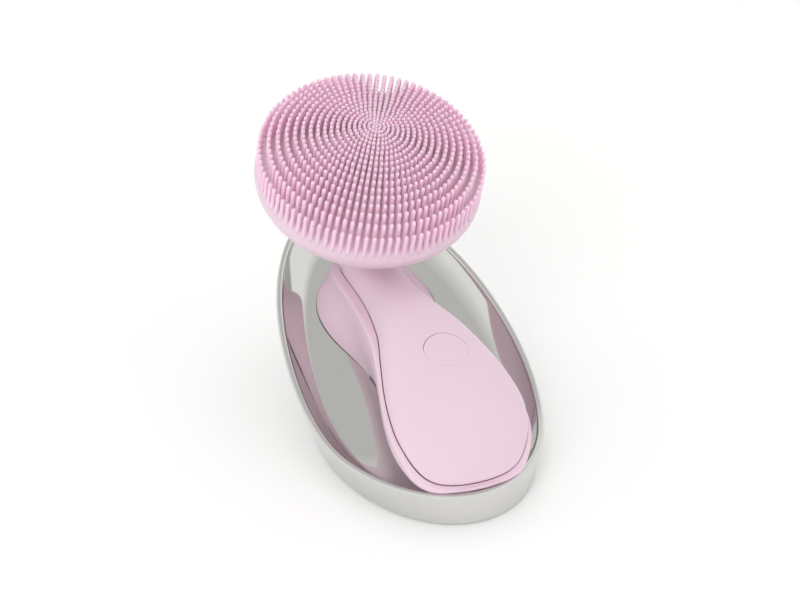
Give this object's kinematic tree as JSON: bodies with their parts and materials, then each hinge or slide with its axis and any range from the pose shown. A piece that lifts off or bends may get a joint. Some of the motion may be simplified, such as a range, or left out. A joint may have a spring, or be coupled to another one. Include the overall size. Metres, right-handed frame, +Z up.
{
  "type": "facial cleansing brush",
  "caption": "Domed silicone facial brush with a pear-shaped handle, one round button, lying in a cradle inside a sloping egg-shaped metal dish that charges it.",
  "frame": {"origin": "under the middle of the whole object, on the surface it stands on", "axes": "+Z up, +Y from the low front of the dish toward the brush head, +X to the right seen from the front"},
  "size_m": [0.0718, 0.1244, 0.0882],
  "materials": {
    "chrome": "polished",
    "cradle_pink": "smooth satin",
    "silicone_pink": "soft matt silicone",
    "bristle_pink": "soft matt silicone",
    "base_grey": "moulded",
    "foot_rubber": "moulded",
    "steel": "plain",
    "cast_weight": "plain",
    "board_green": "solder mask",
    "copper": "wound",
    "ferrite": "sintered",
    "cell_wrap": "film",
    "white_frame": "moulded",
    "black_plastic": "moulded",
    "brass": "machined"
  },
  "bodies": {
    "stand": {"dish": "chrome", "cradle": "cradle_pink", "base_plate": "base_grey", "ballast_weight": "cast_weight", "base_screws": "steel", "foot_front_left": "foot_rubber", "foot_front_right": "foot_rubber", "foot_rear_left": "foot_rubber", "foot_rear_right": "foot_rubber", "inlet_socket": "steel", "inlet_board": "board_green", "charge_board": "board_green", "transmit_coil": "copper", "transmit_ferrite": "ferrite"},
    "brush": {"handle_top_shell": "silicone_pink", "handle_bottom_shell": "silicone_pink", "neck_sleeve": "silicone_pink", "head_back_shell": "silicone_pink", "brush_pad": "silicone_pink", "bristles": "bristle_pink", "inner_frame": "white_frame", "battery": "cell_wrap", "main_board": "board_green", "board_screws": "steel", "tact_switch": "black_plastic", "receive_coil": "copper", "receive_ferrite": "ferrite", "motor_holder": "white_frame", "motor": "steel"},
    "button": {"power_button": "silicone_pink"},
    "plunger": {"switch_plunger": "white_frame"},
    "rotor": {"motor_shaft": "steel", "eccentric_weight": "brass"}
  },
  "joints": [
    {"name": "brush_lift", "type": "slide", "parent": "stand", "child": "brush", "axis": [0, 0, 1], "range_m": [0, 0.1]},
    {"name": "button_press", "type": "slide", "parent": "brush", "child": "button", "axis": [0, 0.2756, -0.9613], "range_m": [0, 0.0004], "stiffness_N_per_m": 600},
    {"name": "plunger_press", "type": "slide", "parent": "brush", "child": "plunger", "axis": [0, 0.2756, -0.9613], "range_m": [0, 0.0005]},
    {"name": "motor_spin", "type": "hinge", "parent": "brush", "child": "rotor", "pos_m": [0, 0.02882, 0.067], "axis": [1, 0, 0], "continuous": true}
  ],
  "couplings": [
    {"joint": "plunger_press", "follows": "button_press", "ratio": 1}
  ]
}
